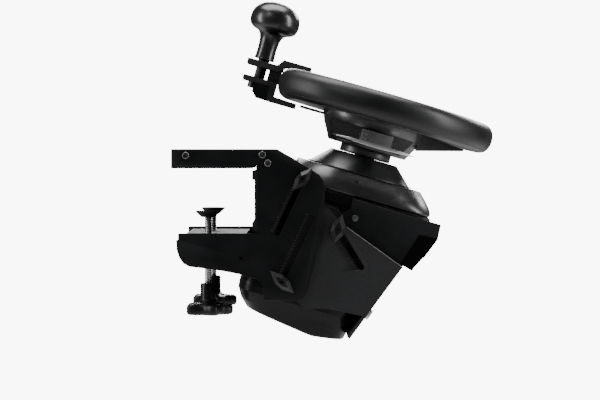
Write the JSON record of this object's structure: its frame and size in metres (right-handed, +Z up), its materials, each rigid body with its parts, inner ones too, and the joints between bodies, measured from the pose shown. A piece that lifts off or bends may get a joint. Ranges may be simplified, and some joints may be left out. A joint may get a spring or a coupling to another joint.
{
  "type": "racing wheel",
  "caption": "Desk-clamped racing wheel: tilting cradle, belt-driven base, flat-sided rim with paddles and a spinner knob.",
  "frame": {"origin": "centre of the underside of the upper jaw's pad, on the desk top", "axes": "+Z up from the desk top, +X from the desk to the driver, +Y to the driver's right; the part is symmetric about Y=0"},
  "size_m": [0.3724, 0.2796, 0.3927],
  "materials": {
    "coated_metal": "satin powder coat",
    "pad_rubber": "matte",
    "grip_leather": "smooth, slightly grained",
    "base_plastic": "satin black",
    "knob_plastic": "moulded, fine texture",
    "button_plastic": "satin",
    "gloss_black": "high gloss",
    "screw_steel": "machined",
    "screw_black": "black oxide",
    "paddle_metal": "brushed",
    "board": "circuit board"
  },
  "bodies": {
    "clamp_frame": {"clamp_plate_left": "coated_metal", "clamp_plate_right": "coated_metal", "upper_jaw_channel": "coated_metal", "upper_jaw_pad": "pad_rubber", "desk_stop_plate": "coated_metal", "desk_stop_pad_upper": "pad_rubber", "desk_stop_pad_lower": "pad_rubber", "lower_jaw_channel": "coated_metal", "plate_screw_left_1": "screw_black", "plate_screw_left_2": "screw_black", "plate_screw_left_3": "screw_black", "plate_screw_right_1": "screw_black", "plate_screw_right_2": "screw_black", "plate_screw_right_3": "screw_black"},
    "cradle_body": {"cradle": "coated_metal", "base_shell": "base_plastic", "front_cover": "base_plastic", "bearing_housing": "coated_metal", "motor": "screw_steel", "circuit_board": "board", "base_bolt_left": "screw_steel", "base_bolt_right": "screw_steel", "drive_belt": "pad_rubber"},
    "support": {"support_bracket": "coated_metal", "bracket_screw_left": "screw_black", "bracket_screw_right": "screw_black"},
    "motor_drive": {"motor_pulley": "screw_steel"},
    "steering_wheel": {"wheel_shaft": "screw_steel", "release_collar": "base_plastic", "hub_housing": "base_plastic", "spokes": "coated_metal", "rim_grip": "grip_leather", "hub_face": "base_plastic", "spinner_clamp_upper": "coated_metal", "spinner_clamp_lower": "coated_metal", "spinner_bolt": "screw_steel"},
    "spinner": {"spinner_knob": "gloss_black"},
    "thumbscrew": {"spinner_thumbscrew": "screw_steel"},
    "horn": {"horn_button": "base_plastic"},
    "button_1": {"wheel_button_1": "button_plastic"},
    "button_2": {"wheel_button_2": "button_plastic"},
    "button_3": {"wheel_button_3": "button_plastic"},
    "button_4": {"wheel_button_4": "button_plastic"},
    "foot_left": {"clamp_foot_left": "pad_rubber"},
    "screw_left": {"clamp_screw_left": "screw_steel", "star_knob_left": "knob_plastic"},
    "tilt_slider_left": {"tilt_nut_left": "screw_steel"},
    "tilt_lock_left": {"tilt_knob_left": "knob_plastic"},
    "pivot_lock_left": {"pivot_knob_left": "knob_plastic"},
    "support_lock_left": {"support_knob_left": "knob_plastic"},
    "shifter_left": {"paddle_left": "paddle_metal"},
    "foot_right": {"clamp_foot_right": "pad_rubber"},
    "screw_right": {"clamp_screw_right": "screw_steel", "star_knob_right": "knob_plastic"},
    "tilt_slider_right": {"tilt_nut_right": "screw_steel"},
    "tilt_lock_right": {"tilt_knob_right": "knob_plastic"},
    "pivot_lock_right": {"pivot_knob_right": "knob_plastic"},
    "support_lock_right": {"support_knob_right": "knob_plastic"},
    "shifter_right": {"paddle_right": "paddle_metal"}
  },
  "joints": [
    {"name": "cradle_tilt", "type": "hinge", "parent": "clamp_frame", "child": "cradle_body", "pos_m": [0.1022, 0, -0.0119], "axis": [0, -1, 0], "range_deg": [0, 25]},
    {"name": "support_slide", "type": "slide", "parent": "cradle_body", "child": "support", "axis": [0.5203, 0, -0.854], "range_m": [0, 0.05084]},
    {"name": "wheel_turn", "type": "hinge", "parent": "cradle_body", "child": "steering_wheel", "pos_m": [0.1916, 0, 0.0698], "axis": [0.2756, 0, 0.9613], "range_deg": [-450, 450]},
    {"name": "motor_spin", "type": "hinge", "parent": "cradle_body", "child": "motor_drive", "pos_m": [0.10771, 0, -0.0341], "axis": [0.2756, 0, 0.9613], "range_deg": [-1612.7, 1612.7]},
    {"name": "spinner_spin", "type": "hinge", "parent": "steering_wheel", "child": "spinner", "pos_m": [0.06049, 0, 0.13861], "axis": [0.2756, 0, 0.9613], "continuous": true},
    {"name": "thumbscrew_turn", "type": "hinge", "parent": "steering_wheel", "child": "thumbscrew", "pos_m": [0.04836, 0, 0.09631], "axis": [0.2756, 0, 0.9613], "range_deg": [-180, 180]},
    {"name": "horn_press", "type": "slide", "parent": "steering_wheel", "child": "horn", "axis": [-0.2756, 0, -0.9613], "range_m": [0, 0.002], "stiffness_N_per_m": 900, "springref_m": -0.0005},
    {"name": "button_1_press", "type": "slide", "parent": "steering_wheel", "child": "button_1", "axis": [-0.2756, 0, -0.9613], "range_m": [0, 0.0018], "stiffness_N_per_m": 400, "springref_m": -0.0005},
    {"name": "button_2_press", "type": "slide", "parent": "steering_wheel", "child": "button_2", "axis": [-0.2756, 0, -0.9613], "range_m": [0, 0.0018], "stiffness_N_per_m": 400, "springref_m": -0.0005},
    {"name": "button_3_press", "type": "slide", "parent": "steering_wheel", "child": "button_3", "axis": [-0.2756, 0, -0.9613], "range_m": [0, 0.0018], "stiffness_N_per_m": 400, "springref_m": -0.0005},
    {"name": "button_4_press", "type": "slide", "parent": "steering_wheel", "child": "button_4", "axis": [-0.2756, 0, -0.9613], "range_m": [0, 0.0018], "stiffness_N_per_m": 400, "springref_m": -0.0005},
    {"name": "clamp_lift_left", "type": "slide", "parent": "clamp_frame", "child": "foot_left", "axis": [0, 0, 1], "range_m": [-0.0165, 0.039]},
    {"name": "clamp_turn_left", "type": "hinge", "parent": "foot_left", "child": "screw_left", "pos_m": [-0.0056, -0.07, -0.1], "axis": [0, 0, 1], "range_deg": [-1494, 3528]},
    {"name": "tilt_follow_left", "type": "slide", "parent": "clamp_frame", "child": "tilt_slider_left", "axis": [0.4216, 0, 0.9068], "range_m": [0, 0.08037]},
    {"name": "tilt_knob_left_turn", "type": "hinge", "parent": "tilt_slider_left", "child": "tilt_lock_left", "pos_m": [0.0793, -0.11, -0.1273], "axis": [0, -1, 0], "range_deg": [-90, 90]},
    {"name": "pivot_knob_left_turn", "type": "hinge", "parent": "clamp_frame", "child": "pivot_lock_left", "pos_m": [0.1022, -0.11, -0.0119], "axis": [0, -1, 0], "range_deg": [-90, 90]},
    {"name": "support_knob_left_turn", "type": "hinge", "parent": "support", "child": "support_lock_left", "pos_m": [0.1425, -0.105, -0.0684], "axis": [0, -1, 0], "range_deg": [-90, 90]},
    {"name": "paddle_pull_left", "type": "hinge", "parent": "steering_wheel", "child": "shifter_left", "pos_m": [0.18744, -0.036, 0.03354], "axis": [-0.9613, 0, 0.2756], "range_deg": [0, 4], "stiffness_Nm_per_rad": 1.2, "springref_deg": -3.44},
    {"name": "clamp_lift_right", "type": "slide", "parent": "clamp_frame", "child": "foot_right", "axis": [0, 0, 1], "range_m": [-0.0165, 0.039]},
    {"name": "clamp_turn_right", "type": "hinge", "parent": "foot_right", "child": "screw_right", "pos_m": [-0.0056, 0.07, -0.1], "axis": [0, 0, 1], "range_deg": [-1494, 3528]},
    {"name": "tilt_follow_right", "type": "slide", "parent": "clamp_frame", "child": "tilt_slider_right", "axis": [0.4216, 0, 0.9068], "range_m": [0, 0.08037]},
    {"name": "tilt_knob_right_turn", "type": "hinge", "parent": "tilt_slider_right", "child": "tilt_lock_right", "pos_m": [0.0793, 0.11, -0.1273], "axis": [0, 1, 0], "range_deg": [-90, 90]},
    {"name": "pivot_knob_right_turn", "type": "hinge", "parent": "clamp_frame", "child": "pivot_lock_right", "pos_m": [0.1022, 0.11, -0.0119], "axis": [0, 1, 0], "range_deg": [-90, 90]},
    {"name": "support_knob_right_turn", "type": "hinge", "parent": "support", "child": "support_lock_right", "pos_m": [0.1425, 0.105, -0.0684], "axis": [0, 1, 0], "range_deg": [-90, 90]},
    {"name": "paddle_pull_right", "type": "hinge", "parent": "steering_wheel", "child": "shifter_right", "pos_m": [0.18744, 0.036, 0.03354], "axis": [0.9613, 0, -0.2756], "range_deg": [0, 4], "stiffness_Nm_per_rad": 1.2, "springref_deg": -3.44}
  ],
  "couplings": [
    {"joint": "motor_spin", "follows": "wheel_turn", "ratio": 3.5816},
    {"joint": "clamp_turn_left", "follows": "clamp_lift_left", "rad_per_m": 1570.8},
    {"joint": "tilt_follow_left", "follows": "cradle_tilt", "m_per_rad": 0.18374},
    {"joint": "clamp_turn_right", "follows": "clamp_lift_right", "rad_per_m": 1570.8},
    {"joint": "tilt_follow_right", "follows": "cradle_tilt", "m_per_rad": 0.18374}
  ]
}
